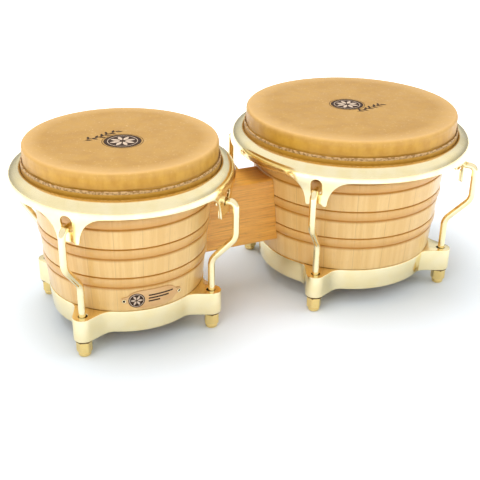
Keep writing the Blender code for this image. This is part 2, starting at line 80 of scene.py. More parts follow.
BLOCK_HALF_WIDTH, BLOCK_LOW, BLOCK_HIGH, BLOCK_ROUND = 0.021, 0.0585, 0.1285, 0.003
BOLT_RADIUS, BOLT_HOLE, BOLT_HEAD, BOLT_HEAD_TALL = 0.004, 0.0043, 0.0075, 0.0055
BOLT_THREAD, BOLT_NUT_FLAT = 0.03, 0.0065
BADGE_HEIGHT, BADGE_THICK, BADGE_HALF = 0.0543, 0.0008, 0.0304
PIN_RADIUS, PIN_HEAD = 0.0009, 0.0019

# ---- Finer shape, which the CAD leaves out ----
STAVES = 20
# Under a bead the dark line is the lower groove and then a painted shadow band.
GROOVE_FADE = 0.0036  # how far below a bead its dark line has faded
CUT_DEEP = 0.0034  # how far down the lap its torn edge reaches
NUT_FOOT = 0.0045  # the round foot under a tuning nut's hexagon
CHAMFER_SLOPE = 1.7
FLANK_BLEND = 0.009  # the hollow between a boss and its ring
EDGE_ROUND = 0.0006  # the rim's sheet

# ---- Camera and lights ----
VIEW_TURN = (-25.134, 26.102, 0.884)  # azimuth, elevation and roll, in degrees
VIEW_AIM = (0.1267, -0.0003, 0.0548)  # from the macho's axis
VIEW_AWAY, VIEW_LENS = 0.977, 68.65
LIGHT_AIM = (0, 0, 0.1)
SOFTBOXES = (
    ("top_softbox", (-0.25, 0.15, 1.8), (1.5, 1.3), 24),
    ("key_softbox", (-1.7, -1.5, 1.6), (1.4, 1.2), 15.5),
    ("side_softbox", (1.8, -1.0, 1.0), (1.0, 1.2), 8),
)
CAMERA_SIDE = (-0.58, -0.81, 0)

# ---- Ornament on each head: centre and radius of the disc, and the points of the sprig ----
MACHO_PRINT = (
    (-0.0017, -0.0105), 0.0197,
    [(-0.0357, 0.0028), (-0.0290, 0.0070), (-0.0215, 0.0078), (-0.0150, 0.0102), (-0.0090, 0.0140),
     (-0.0020, 0.0160), (0.0049, 0.0196)],
)
HEMBRA_PRINT = (
    (-0.0012, 0.0067), 0.0190,
    [(-0.0045, -0.0193), (0.0020, -0.0155), (0.0090, -0.0150), (0.0160, -0.0122), (0.0230, -0.0100),
     (0.0290, -0.0082), (0.0347, -0.0060)],
)

Drum = namedtuple("Drum", "name skin top foot axis")


def drum(name, skin, top, foot):
    low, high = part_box(f"{name}_shell")
    return Drum(name, skin, top, foot, (low.x + high.x) / 2)


MACHO = drum("macho", 0.0935, 0.0917, 0.0732)
HEMBRA = drum("hembra", 0.1110, 0.1082, 0.0904)


# ---- Nodes ----
class Graph:
    """A node tree, with short calls for the nodes that it holds. A colour is given without its alpha."""

    def __init__(self, tree):
        self.tree = tree

    def feed(self, socket, value):
        if isinstance(value, bpy.types.NodeSocket):
            self.tree.links.new(value, socket)
        elif socket.type == "RGBA":
            socket.default_value = (*value, 1)
        else:
            socket.default_value = value

    def node(self, kind, values, out=0, **settings):
        made = self.tree.nodes.new(kind)
        for key, value in settings.items():
            setattr(made, key, value)
        for key, value in values.items():
            self.feed(made.inputs[key], value)
        return made.outputs[out]

    def math(self, operation, *values):
        return self.node("ShaderNodeMath", dict(enumerate(values)), operation=operation)

    def mix(self, factor, a, b):
        return self.node("ShaderNodeMix", {0: factor, 6: a, 7: b}, 2, data_type="RGBA")


class Shader(Graph):
    """A Principled material."""

    def __init__(self, name, roughness, metallic=0.0):
        self.material = bpy.data.materials.new(name)
        self.material.use_nodes = True
        super().__init__(self.material.node_tree)
        self.bsdf = self.tree.nodes["Principled BSDF"]
        self.put("Roughness", roughness)
        self.put("Metallic", metallic)

    def put(self, socket, value):
        self.feed(self.bsdf.inputs[socket], value)

    def noise(self, vector, scale=1.0, detail=3.0, rough=0.5, distortion=0.0):
        values = {"Vector": vector, "Scale": scale, "Detail": detail}
        return self.node("ShaderNodeTexNoise", {**values, "Roughness": rough, "Distortion": distortion})

    def remap(self, value, low, high, start=0.0, end=1.0):
        values = {0: value, 1: low, 2: high, 3: start, 4: end}
        return self.node("ShaderNodeMapRange", values, interpolation_type="SMOOTHSTEP")

    def layers(self, colour, *coats):
        """Lays each (how much, colour) over what is there."""
        for amount, tint in coats:
            colour = self.mix(amount, colour, tint)
        return colour

    def position(self):
        """Where a point is on its piece, as one socket and as three."""
        place = self.node("ShaderNodeTexCoord", {}, "Object")
        split = self.tree.nodes.new("ShaderNodeSeparateXYZ")
        self.feed(split.inputs[0], place)
        return place, split.outputs[0], split.outputs[1], split.outputs[2]

    def stretch(self, *parts):
        """A vector, each part of it a socket or number, or a (socket, factor)."""
        parts = [self.math("MULTIPLY", *part) if isinstance(part, tuple) else part for part in parts]
        return self.node("ShaderNodeCombineXYZ", dict(enumerate(parts)))

    def attribute(self, name):
        return self.node("ShaderNodeAttribute", {}, "Fac", attribute_name=name)

    def bump(self, height, strength, distance):
        values = {"Strength": strength, "Distance": distance, "Height": height}
        self.put("Normal", self.node("ShaderNodeBump", values))


# ---- Studio ----
def add_object(name, data):
    item = bpy.data.objects.new(name, data)
    bpy.context.scene.collection.objects.link(item)
    return item


def mesh_of(bm, name):
    """The mesh that bm holds. bm is freed."""
    mesh = bpy.data.meshes.new(name)
    bm.to_mesh(mesh)
    bm.free()
    return mesh


def make_camera():
    azimuth, elevation, roll = (math.radians(x) for x in VIEW_TURN)
    level = math.cos(elevation)
    back = Vector((math.sin(azimuth) * level, -math.cos(azimuth) * level, math.sin(elevation)))
    right = Vector((math.cos(azimuth), math.sin(azimuth), 0))
    up = back.cross(right)
    side = right * math.cos(roll) + up * math.sin(roll)
    top = up * math.cos(roll) - right * math.sin(roll)
    camera = add_object("camera", bpy.data.cameras.new("camera"))
    matrix = Matrix((side, top, back)).transposed().to_4x4()
    matrix.translation = Vector((MACHO.axis + VIEW_AIM[0], *VIEW_AIM[1:])) + back * VIEW_AWAY
    camera.matrix_world = matrix
    camera.data.sensor_width = 36
    camera.data.lens = VIEW_LENS
    camera.data.clip_start, camera.data.clip_end = 0.02, 50
    bpy.context.scene.camera = camera


def make_lights():
    """Softboxes. The metal does not mirror them: it mirrors only the world and the floor."""
    for name, place, size, power in SOFTBOXES:
        light = bpy.data.lights.new(name, "AREA")
        light.shape = "RECTANGLE"
        light.size, light.size_y = size
        light.energy = power
        item = add_object(name, light)
        item.location = place
        item.rotation_euler = (Vector(LIGHT_AIM) - Vector(place)).to_track_quat("-Z", "Y").to_euler()
        item.visible_glossy = False


def make_world():
    """A surround that is paler overhead and on the camera's side. The camera sees it as plain white."""
    world = bpy.data.worlds.new("studio")
    bpy.context.scene.world = world
    world.use_nodes = True
    graph = Graph(world.node_tree)
    direction = graph.node("ShaderNodeTexCoord", {}, "Generated")
    ramp = graph.tree.nodes.new("ShaderNodeValToRGB")
    stops = ramp.color_ramp.elements
    stops[0].position, stops[0].color = 0.0, (0.42, 0.41, 0.38, 1)
    stops[1].position, stops[1].color = 1.0, (1.05, 1.05, 1.05, 1)
    for position, grey in ((0.15, 0.44), (0.34, 0.70), (0.55, 1.0)):
        stops.new(position).color = (grey, grey, grey * 0.98, 1)
    graph.feed(ramp.inputs[0], graph.node("ShaderNodeSeparateXYZ", {0: direction}, "Z"))
    values = {0: direction, 1: CAMERA_SIDE}
    facing = graph.node("ShaderNodeVectorMath", values, "Value", operation="DOT_PRODUCT")
    front = graph.node("ShaderNodeMapRange", {0: facing, 1: -0.65, 2: 0.35})
    colour = graph.mix(front, ramp.outputs[0], (0.98, 0.98, 0.98))
    rays = graph.tree.nodes.new("ShaderNodeLightPath").outputs
    background = graph.tree.nodes["Background"].inputs
    graph.feed(background["Color"], graph.mix(rays["Is Camera Ray"], colour, (1, 1, 1)))
    strength = graph.node("ShaderNodeMapRange", {0: rays["Is Diffuse Ray"], 3: 1.0, 4: 0.62})
    graph.feed(background["Strength"], strength)


def make_floor():
    """White paper, pale blue near the drums so that their shadows look blue, a painted shade tint; away from
    the drums it glows, painted light that keeps it plain white. From below it is clear.
    """
    bm = bmesh.new()
    bmesh.ops.create_grid(bm, x_segments=1, y_segments=1, size=8)
    floor = add_object("floor", mesh_of(bm, "floor"))
    floor.location.z = -0.0002
    shader = Shader("floor_paper", 0.75)
    _, x, y, _ = shader.position()
    square = shader.math("ADD", shader.math("MULTIPLY", x, x), shader.math("MULTIPLY", y, y))
    reach = shader.math("SQRT", square)
    # pale blue near the drums tints their shadows: painted shade colour
    shader.put("Base Color", shader.mix(shader.remap(reach, 0.25, 0.48), (0.86, 0.93, 1.0), (1.0, 1.0, 1.0)))
    # the glow away from the drums is painted light
    shader.put("Emission Color", shader.mix(shader.remap(reach, 0.24, 0.60), (0, 0, 0), (1.0, 1.0, 1.0)))
    shader.put("Emission Strength", 0.62)
    shader.put("Specular IOR Level", 0.2)
    clear = shader.node("ShaderNodeBsdfTransparent", {})
    below = shader.node("ShaderNodeNewGeometry", {}, "Backfacing")
    seen = shader.node("ShaderNodeMixShader", {0: below, 1: shader.bsdf.outputs[0], 2: clear})
    shader.feed(shader.tree.nodes["Material Output"].inputs[0], seen)
    floor.data.materials.append(shader.material)


def make_studio():
    settings = bpy.context.scene.view_settings
    settings.view_transform = "Standard"
    settings.look = "None"
    make_world()
    make_lights()
    make_floor()


# ---- Materials ----
def wood_grain(shader, across, along, seed):
    """Streaks, broad bands and pores of a plank, each from 0 to 1. across and along are in metres."""
    wander = shader.noise(shader.stretch((across, 60.0), (along, 9.0), seed), detail=2.0)
    bent = shader.math("MULTIPLY_ADD", wander, 0.004, across)
    streaks = shader.noise(shader.stretch((bent, 950.0), (along, 22.0), seed), detail=4.0, rough=0.6)
    bands = shader.noise(shader.stretch((bent, 170.0), (along, 5.0), seed), detail=2.0)
    pores = shader.noise(shader.stretch((bent, 2600.0), (along, 130.0), seed), detail=1.0)
    return streaks, bands, shader.remap(pores, 0.60, 0.74)


def make_oak():
    """Edge-glued staves: each has its own tone and grain, with a fine dark line at each joint."""
    shader = Shader("oak_staves", 0.36)
    _, x, y, z = shader.position()
    angle = shader.math("ARCTAN2", y, x)
    stave = shader.math("MULTIPLY_ADD", angle, STAVES / (2 * math.pi), 0.37)
    edge = shader.math("ABSOLUTE", shader.math("SUBTRACT", shader.math("FRACT", stave), 0.5))
    joint = shader.remap(edge, 0.482, 0.498)
    tone = shader.node("ShaderNodeTexWhiteNoise", {"W": shader.math("FLOOR", stave)}, noise_dimensions="1D")
    seed = shader.math("MULTIPLY", tone, 40.0)
    streaks, bands, pores = wood_grain(shader, shader.math("MULTIPLY", angle, 0.09), z, seed)
    shader.put("Base Color", shader.layers(
        shader.mix(shader.remap(tone, 0.0, 1.0), (0.79, 0.515, 0.190), (0.74, 0.44, 0.135)),
        (shader.remap(bands, 0.35, 0.70, 0.0, 0.7), (0.85, 0.585, 0.245)),
        (shader.remap(streaks, 0.45, 0.80, 0.0, 0.24), (0.58, 0.31, 0.09)),
        (shader.math("MULTIPLY", pores, 0.25), (0.44, 0.23, 0.08)),
        (shader.math("MULTIPLY", joint, 0.40), (0.42, 0.22, 0.07)),
        # deeper tone on the beads, stronger on their lower sides as painted shade
        (shader.math("MULTIPLY", shader.attribute("bead"), 0.8), (0.62, 0.30, 0.055)),
        # the grooves' dark line, and painted shadow on a band under each bead
        (shader.attribute("groove"), (0.50, 0.22, 0.018)),
    ))
    shader.put("Roughness", shader.remap(streaks, 0.3, 0.8, 0.30, 0.44))
    shader.put("Coat Weight", 0.35)
    shader.put("Coat Roughness", 0.18)
    shader.bump(shader.math("SUBTRACT", streaks, pores), 0.25, 0.0002)
    return shader.material


def make_block_wood():
    """The block's red-brown wood, its grain along the block."""
    shader = Shader("block_hardwood", 0.42)
    _, x, y, z = shader.position()
    streaks, bands, pores = wood_grain(shader, shader.math("MULTIPLY_ADD", y, 0.6, z), x, 3.0)
    shader.put("Base Color", shader.layers(
        shader.mix(shader.remap(bands, 0.3, 0.7), (0.74, 0.32, 0.040), (0.90, 0.46, 0.075)),
        (shader.remap(streaks, 0.42, 0.78, 0.0, 0.7), (0.38, 0.15, 0.025)),
        (shader.math("MULTIPLY", pores, 0.4), (0.20, 0.08, 0.02)),
    ))
    shader.put("Coat Weight", 0.25)
    shader.put("Coat Roughness", 0.22)
    shader.bump(shader.math("SUBTRACT", streaks, pores), 0.3, 0.0002)
    return shader.material


def make_rawhide():
    """Mottled hide with pale flecks, amber where it turns down, darker on the lap, torn at the cut edge."""
    shader = Shader("rawhide", 0.46)
    place, x, y, z = shader.position()
    patches = shader.noise(place, 28.0, 4.0, 0.6, 0.6)
    clouds = shader.noise(place, 95.0, 5.0, 0.62)
    grain = shader.noise(place, 900.0, 2.0)
    flecks = shader.noise(place, 420.0, 2.0)
    angle = shader.math("ARCTAN2", y, x)
    streaks = shader.noise(shader.stretch((angle, 11.0), (z, 60.0), 0.0), detail=5.0, rough=0.55)
    fibres = shader.noise(shader.stretch((angle, 38.0), (z, 400.0), 0.0), detail=4.0)
    amber = shader.mix(shader.remap(streaks, 0.25, 0.75), (0.52, 0.25, 0.012), (0.67, 0.37, 0.040))
    torn = shader.mix(shader.remap(fibres, 0.40, 0.62), (0.60, 0.39, 0.17), (0.28, 0.14, 0.03))
    shader.put("Base Color", shader.layers(
        shader.mix(shader.remap(patches, 0.35, 0.68), (0.42, 0.215, 0.030), (0.47, 0.255, 0.048)),
        (shader.remap(clouds, 0.42, 0.72, 0.0, 0.5), (0.51, 0.29, 0.065)),
        (shader.remap(grain, 0.55, 0.75, 0.0, 0.2), (0.36, 0.18, 0.04)),
        (shader.remap(flecks, 0.64, 0.72, 0.0, 0.55), (0.78, 0.58, 0.32)),
        # painted highlight on the hide's rounded shoulder
        (shader.attribute("shoulder"), (0.72, 0.45, 0.17)),
        (shader.attribute("collar"), amber),
        # painted shade line at the lap's upper end
        (shader.attribute("seam"), (0.16, 0.07, 0.01)),
        (shader.attribute("lap"), (0.40, 0.19, 0.010)),
        (shader.attribute("cut"), torn),
    ))
    shader.put("Roughness", shader.remap(clouds, 0.3, 0.7, 0.38, 0.55))
    shader.put("Sheen Weight", 0.08)
    shader.bump(shader.math("MULTIPLY_ADD", grain, 0.3, clouds), 0.25, 0.0004)
    return shader.material


def make_gold():
    """Polished plating: a faint wave left by polishing, and a slight haze."""
    shader = Shader("gold_plate", 0.14, 1.0)
    place = shader.position()[0]
    wave = shader.noise(place, 55.0, 2.0)
    haze = shader.noise(place, 260.0, 3.0)
    shader.put("Base Color", shader.mix(shader.remap(wave, 0.3, 0.7), (0.98, 0.86, 0.55), (0.96, 0.82, 0.47)))
    shader.put("Roughness", shader.remap(haze, 0.3, 0.8, 0.11, 0.22))
    shader.bump(wave, 0.10, 0.0012)
    return shader.material


def make_metal(name, scale, detail, tones, roughness, metallic=1.0):
    """Plain metal, hazy between two tones and two roughnesses."""
    shader = Shader(name, roughness[0], metallic)
    haze = shader.noise(shader.position()[0], scale, detail)
    shader.put("Base Color", shader.mix(haze, *tones))
    shader.put("Roughness", shader.remap(haze, 0.3, 0.7, *roughness))
    return shader.material


def make_badge_metal():
    """Coppery plate, brushed along its length."""
    shader = Shader("badge_copper", 0.36, 0.55)
    _, x, y, z = shader.position()
    brushed = shader.noise(shader.stretch((x, 60.0), 0.0, (z, 3500.0)), detail=2.0)
    wide = shader.noise(shader.stretch((x, 45.0), y, (z, 60.0)), detail=2.0)
    shader.put("Base Color", shader.layers(
        shader.mix(brushed, (0.60, 0.33, 0.12), (0.72, 0.44, 0.20)),
        (shader.remap(wide, 0.4, 0.7, 0.0, 0.5), (0.78, 0.53, 0.28)),
    ))
    shader.put("Roughness", shader.remap(brushed, 0.3, 0.7, 0.30, 0.44))
    shader.bump(brushed, 0.15, 0.0001)
    return shader.material


def make_ink(name, dark, worn, roughness):
    """A printed colour, slightly broken up."""
    shader = Shader(name, roughness)
    speckle = shader.noise(shader.position()[0], 1400.0, 3.0)
    shader.put("Base Color", shader.mix(shader.remap(speckle, 0.5, 0.75, 0.0, 0.6), dark, worn))
    shader.put("Specular IOR Level", 0.1)
    return shader.material


# ---- Mesh tools ----
def fillet(corners, steps=3, closed=True):
    """Rounds each corner of (x, y, radius)."""
    points = []
    last = len(corners) - 1
    for i, (x, y, radius) in enumerate(corners):
        here = Vector((x, y))
        if not radius or (not closed and i in (0, last)):
            points.append((x, y))
            continue
        before = Vector(corners[i - 1][:2]) - here
        after = Vector(corners[(i + 1) % len(corners)][:2]) - here
        reach = min(radius / math.tan(before.angle(after) / 2), 0.49 * before.length, 0.49 * after.length)
        start, end = here + before.normalized() * reach, here + after.normalized() * reach
        for k in range(steps + 1):
            t = k / steps
            p = start * (1 - t) ** 2 + here * 2 * t * (1 - t) + end * t * t
            points.append((p.x, p.y))
    return points


def curve_through(points):
    """A smooth curve through the points (Catmull-Rom)."""
    steps = 12
    pts = [np.array(p, float) for p in points]
    pts = [2 * pts[0] - pts[1], *pts, 2 * pts[-1] - pts[-2]]
    out = []
    for a, b, c, d in zip(pts, pts[1:], pts[2:], pts[3:]):
        for k in range(steps):
            t = k / steps
            square, cube = (2 * a - 5 * b + 4 * c - d) * t**2, (3 * b - a - 3 * c + d) * t**3
            out.append(0.5 * (2 * b + (c - a) * t + square + cube))
    out.append(pts[-2])
    return np.array(out)


def ring_of(bm, points):
    return [bm.verts.new(p) for p in points]


def grid_faces(bm, rings, wrap):
    """Joins rings of the same count of vertices, or of one at a pole."""
    count = max(len(ring) for ring in rings)
    for low, high in zip(rings, rings[1:] + rings[:1] if wrap else rings[1:]):
        for k in range(count):
            n = k + 1
            corners = [low[k % len(low)], low[n % len(low)], high[n % len(high)], high[k % len(high)]]
            corners = list(dict.fromkeys(corners))
            if len(corners) > 2:
                bm.faces.new(corners)


def lathe(profile, count=160, closed=True, warp=None):
    """Turns a profile of (radius, height) round Z."""
    bm = bmesh.new()
    rings = []
    for radius, height in profile:
        if radius < 1e-7:
            rings.append(ring_of(bm, [(0, 0, height)]))
            continue
        points = []
        for k in range(count):
            angle = 2 * math.pi * k / count
            r, z = warp(radius, height, angle) if warp else (radius, height)
            points.append((r * math.cos(angle), r * math.sin(angle), z))
        rings.append(ring_of(bm, points))
    grid_faces(bm, rings, closed)
    return bm


def columns(angles, section):
    """A ring of cross-sections: section(angle) gives its (radius, height) points, as many at each angle."""
    bm = bmesh.new()
    rings = []
    for angle in angles:
        c, s = math.cos(angle), math.sin(angle)
        rings.append(ring_of(bm, [(r * c, r * s, z) for r, z in section(angle)]))
    grid_faces(bm, rings, True)
    return bm


def thicken(bm, thick, rounding):
    """Gives a sheet a thickness behind it, with rounded edges at its borders."""
    bm.normal_update()
    verts = list(bm.verts)
    front = {v: v.co.copy() for v in verts}
    normal = {v: v.normal.copy() for v in verts}
    back = {v: bm.verts.new(front[v] - normal[v] * thick) for v in verts}
    faces = list(bm.faces)
    borders = [(f, loop) for f in faces for loop in f.loops if len(loop.edge.link_faces) == 1]
    outward = {}
    for _, loop in borders:
        a, b = loop.vert, loop.link_loop_next.vert
        side = (b.co - a.co).normalized().cross(loop.face.normal)
        for v in (a, b):
            outward[v] = outward.get(v, Vector()) + side
    for f in faces:
        bm.faces.new([back[v] for v in reversed(f.verts)])
    turns = [math.pi / 2 * k / 3 for k in (1, 2, 3)]
    rows = {}
    for v, side in outward.items():
        side = side - normal[v] * side.dot(normal[v])
        side.normalize()
        row = [v]
        for turn in turns:
            out = front[v] + side * rounding * math.sin(turn)
            row.append(bm.verts.new(out - normal[v] * rounding * (1 - math.cos(turn))))
        for turn in reversed(turns):
            out = front[v] + side * rounding * math.sin(turn)
            row.append(bm.verts.new(out - normal[v] * (thick - rounding * (1 - math.cos(turn)))))
        rows[v] = row + [back[v]]
    for _, loop in borders:
        a, b = rows[loop.vert], rows[loop.link_loop_next.vert]
        for k in range(len(a) - 1):
            bm.faces.new([b[k], a[k], a[k + 1], b[k + 1]])
    return bm


def rounded_box(bm, size, place, rounding):
    """A block with rounded edges, put in place with a matrix."""
    made = bmesh.ops.create_cube(bm, size=1)["verts"]
    bmesh.ops.scale(bm, vec=size, verts=made)
    edges = list({e for v in made for e in v.link_edges})
    rounded = bmesh.ops.bevel(bm, geom=edges, offset=rounding, segments=3, profile=0.5, affect="EDGES")
    verts = {v for f in rounded["faces"] for v in f.verts}
    bmesh.ops.transform(bm, matrix=place, verts=list(verts))


def piece(name, bm, material, body, nodes=(), place=(0, 0, 0), turn=0.0, sharp=38, attributes=None):
    """Makes the mesh a piece that rides on a body and stands for its CAD nodes."""
    bmesh.ops.recalc_face_normals(bm, faces=bm.faces)
    limit = math.radians(sharp)
    for face in bm.faces:
        face.smooth = True
    for edge in bm.edges:
        edge.smooth = len(edge.link_faces) != 2 or edge.calc_face_angle(0) < limit
    mesh = mesh_of(bm, name)
    for key, rule in (attributes or {}).items():
        values = [rule(v.co) for v in mesh.vertices]
        mesh.attributes.new(key, "FLOAT", "POINT").data.foreach_set("value", values)
    mesh.materials.append(material)
    item = add_object(name, mesh)
    item.location = place
    item.rotation_euler.z = math.radians(turn)
    if nodes:
        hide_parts(*nodes)
    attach(item, body)


def cut(bm, cutters):
    """Takes closed shapes out of a closed shape."""
    helpers = []
    for shape in (bm, *cutters):
        bmesh.ops.recalc_face_normals(shape, faces=shape.faces)
        helpers.append(add_object("helper", mesh_of(shape, "helper")))
    for cutter in helpers[1:]:
        step = helpers[0].modifiers.new("cut", "BOOLEAN")
        step.operation, step.solver, step.object = "DIFFERENCE", "EXACT", cutter
    bpy.context.view_layer.update()
    evaluated = helpers[0].evaluated_get(bpy.context.evaluated_depsgraph_get())
    result = bmesh.new()
    result.from_mesh(evaluated.to_mesh())
    evaluated.to_mesh_clear()
    for helper in helpers:
        mesh = helper.data
        bpy.data.objects.remove(helper)
        bpy.data.meshes.remove(mesh)
    return result


def moved(bm, matrix):
    bmesh.ops.transform(bm, matrix=matrix, verts=bm.verts)
    return bm


UP_TO_X = Matrix.Rotation(math.pi / 2, 4, "Y")


def along_x(bm, height):
    return moved(bm, Matrix.Translation((0, 0, height)) @ UP_TO_X)


def polar(radius, degrees):
    return Vector((radius * math.cos(math.radians(degrees)), radius * math.sin(math.radians(degrees)), 0))


def clamp(value):
    return min(max(value, 0), 1)


def ripple(angle, seed):
    """A repeatable unevenness round a drum, about -1 to 1."""
    waves = ((3, 0.30), (7, 0.24), (13, 0.20), (23, 0.14), (41, 0.12))
    return sum(size * math.sin(count * angle + seed * count * 1.7) for count, size in waves)


def middle_height(node):
    low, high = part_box(node)
    return (low.z + high.z) / 2


# ---- Shells and heads ----
def shell_radius(d, height):
    return d.foot + (d.top - d.foot) * height / SHELL_TOP


def make_shell(d, material):
    def outside(height, out=0.0, rounding=0.0):
        return shell_radius(d, height) + out, height, rounding

    foot, shoulder = RING_LOW + RING_LIP_THICK + GAP, RING_HIGH + GAP
    edge = SHOULDER - HIDE - GAP
    corners = [(d.top - SHELL_WALL, SHELL_TOP, 0.003), (d.top, SHELL_TOP, edge)]
    for middle in reversed(BEAD_HEIGHTS):
        top, low = middle + BEAD_HALF, middle - BEAD_HALF
        corners.append(outside(top + GROOVE_HALF, 0.0, 0.0003))
        corners += [outside(top + 0.0003, -GROOVE_DEPTH), outside(top - 0.0003, -GROOVE_DEPTH)]
        for share in (0.86, 0.5, 0.0, -0.5, -0.86):
            bulge = BEAD_PROUD * (1 - share**2) - 0.0003 * share**4
            corners.append(outside(middle + BEAD_HALF * share, bulge))
        corners += [outside(low + 0.0005, -GROOVE_DEPTH), outside(low - 0.0007, -GROOVE_DEPTH)]
        corners += [outside(low - 1.7 * GROOVE_HALF, 0.0, 0.0003), outside(low - GROOVE_FADE)]
    corners += [outside(shoulder, 0.0, 0.0004), outside(shoulder, -RING_SEAT), outside(foot, -RING_SEAT)]
    corners.append(outside(foot, -SHELL_WALL, 0.001))
    side = 1 if d is MACHO else -1
    cutters = []
    for level in ("upper", "lower"):
        height = middle_height(f"block_bolt_{level}")
        hole = lathe([(0, -0.02), (BOLT_HOLE, -0.02), (BOLT_HOLE, 0.02), (0, 0.02)], 32, closed=False)
        place = Vector((side * (shell_radius(d, height) - SHELL_WALL / 2), 0, height))
        cutters.append(moved(hole, Matrix.Translation(place) @ UP_TO_X))

    def groove(co):
        """1 in the grooves, for their dark line, and less on a soft band under each bead, which is painted
        shadow.
        """
        depth = shell_radius(d, co.z) - math.hypot(co.x, co.y)
        near = min(abs(abs(co.z - middle) - BEAD_HALF) for middle in BEAD_HEIGHTS)
        if near < 0.0013 and 0.0002 < depth < 0.002:
            return 1.0
        under = any(0.0014 < middle - BEAD_HALF - co.z < 0.0026 for middle in BEAD_HEIGHTS)
        return 0.55 if under and -0.0005 < depth < 0.001 else 0.0

    def bead(co):
        """A deeper tone on each bead, partly its own, and stronger at its lower side as painted shade."""
        above = min((co.z - middle for middle in BEAD_HEIGHTS), key=abs) / BEAD_HALF
        on_face = math.hypot(co.x, co.y) > shell_radius(d, co.z) - 0.0015
        return 0.72 - 0.5 * above if on_face and abs(above) < 1 else 0.0

    bm = cut(lathe(fillet(corners), 256), cutters)
    piece(f"{d.name}_shell_staves", bm, material, "root", [f"{d.name}_shell"],
          (d.axis, 0, 0), attributes={"groove": groove, "bead": bead})


def make_skin(d, material, seed):
    edge, inner = d.skin, d.skin - HIDE
    wrap_low, wrap_high = HOOP_LOW - GAP, HOOP_LOW + HOOP_SIZE + GAP
    wrap_out, flap_in = edge + HOOP_SIZE + 2 * GAP, edge + GAP
    flap_out = flap_in + HIDE
    corners = [(0, HEAD_HEIGHT - 0.0002, 0), (edge * 0.5, HEAD_HEIGHT - 0.00012, 0)]
    corners += [(edge * 0.8, HEAD_HEIGHT, 0), (edge, HEAD_HEIGHT, SHOULDER)]
    corners += [(edge, height, 0) for height in (0.180, 0.176, 0.1742, FLAP_TOP + 0.0012)]
    corners += [(edge - 0.0003, FLAP_TOP, 0), (edge, FLAP_TOP - 0.0012, 0)]
    corners += [(edge, wrap_low, 0), (wrap_out, wrap_low, 0)]
    corners += [(wrap_out, wrap_high, 0), (flap_in, wrap_high, 0)]
    corners += [(flap_in, 0.166, 0), (flap_in + 0.0001, FLAP_TOP, 0.0004), (flap_out, FLAP_TOP, 0.0006)]
    corners += [(flap_out, FLAP_TOP - down, 0) for down in (0.0015, 0.003, 0.0036)]
    corners += [(flap_out, 0.166, 0), (flap_out, wrap_high + HIDE, 0)]
    corners += [(wrap_out + HIDE, wrap_high + HIDE, 0.001), (wrap_out + HIDE, wrap_low - HIDE, 0.001)]
    corners += [(inner, wrap_low - HIDE, 0.0005), (inner, 0.176, 0)]
    corners += [(inner, HEAD_HEIGHT - HIDE, SHOULDER - HIDE), (edge * 0.8, HEAD_HEIGHT - HIDE, 0)]
    corners += [(0, HEAD_HEIGHT - HIDE - 0.0002, 0)]

    def warp(radius, height, angle):
        """The cut edge of the lap runs unevenly, and both layers pucker a little."""
        near = max(0.0, 1 - abs(height - FLAP_TOP) / 0.004)
        if radius > flap_in - 0.0001 and near:
            height -= (0.0009 + 0.0009 * ripple(angle, seed)) * near
            radius += (0.00018 + 0.00018 * ripple(angle, seed + 3)) * near
        elif radius > inner + 0.001 and 0.170 < height < 0.1815:
            pucker = math.sin((height - 0.170) / 0.0115 * math.pi)
            radius -= 0.00015 * (1 + ripple(angle, seed + 5)) * pucker
        return radius, height

    def collar(co):
        turned = clamp((math.hypot(co.x, co.y) - (edge - 0.005)) / 0.005)
        return turned * clamp((HEAD_HEIGHT + 0.001 - co.z) / 0.010) ** 0.7

    def shoulder(co):
        """A paler band over the bearing edge: a painted highlight where the rounded shoulder catches the
        light.
        """
        if co.z <= HEAD_HEIGHT - 0.006:
            return 0.0
        return 0.75 * math.exp(-(((math.hypot(co.x, co.y) - edge + 0.0022) / 0.0030) ** 2))

    def lap(co):
        """The hide is darker low on the collar, and on the lap."""
        if math.hypot(co.x, co.y) > edge + 0.0001:
            return 0.45
        return 0.45 * clamp((0.182 - co.z) / 0.009)

    def torn(co):
        return 1.0 if math.hypot(co.x, co.y) > edge + 0.0001 and co.z > FLAP_TOP - CUT_DEEP else 0.0

    def seam(co):
        """A painted shade line where the lap's upper end meets the hide behind it."""
        radius = math.hypot(co.x, co.y)
        return 0.40 if edge - 0.0008 < radius < edge + 0.0001 and abs(co.z - FLAP_TOP) < 0.0006 else 0.0

    bm = lathe(fillet(corners, 6, closed=False), 300, closed=False, warp=warp)
    rules = {"collar": collar, "shoulder": shoulder, "cut": torn, "seam": seam, "lap": lap}
    piece(f"{d.name}_head_hide", bm, material, "root", [f"{d.name}_skin"],
          (d.axis, 0, 0), attributes=rules)


# ---- Counter-hoop and its ears ----
def along_table(offset, points):
    """Reads a table of (distance to either side, value)."""
    xs, ys = zip(*points)
    return float(np.interp(abs(offset), xs, ys))


def lower_edge(offset):
    """How low the rim's sheet reaches, by the distance round from the middle of an ear."""
    return along_table(offset, (
        (0, 0.1267), (0.0050, 0.1267), (0.0060, 0.1260), (0.0072, 0.1248), (0.0088, 0.1247),
        (0.0099, 0.1250), (0.0104, 0.1260), (0.0106, 0.1285), (0.0114, 0.1325), (0.0128, 0.1366),
        (0.0148, 0.1405), (0.0174, 0.1440), (0.0205, 0.1470), (0.0245, 0.1496), (0.0290, 0.1511),
        (0.0340, 0.1516), (0.0400, 0.1517)))


def window_edges(offset):
    """Top and bottom of the window in the ear, at this distance from its middle."""
    offset = min(abs(offset), WINDOW_HALF)
    top = WINDOW_SPRING + math.sqrt(max(WINDOW_HALF**2 - offset**2, 0))
    corner = 0.0015
    into = max(offset - (WINDOW_HALF - corner), 0)
    return top, WINDOW_LOW + corner - math.sqrt(max(corner**2 - into**2, 0))


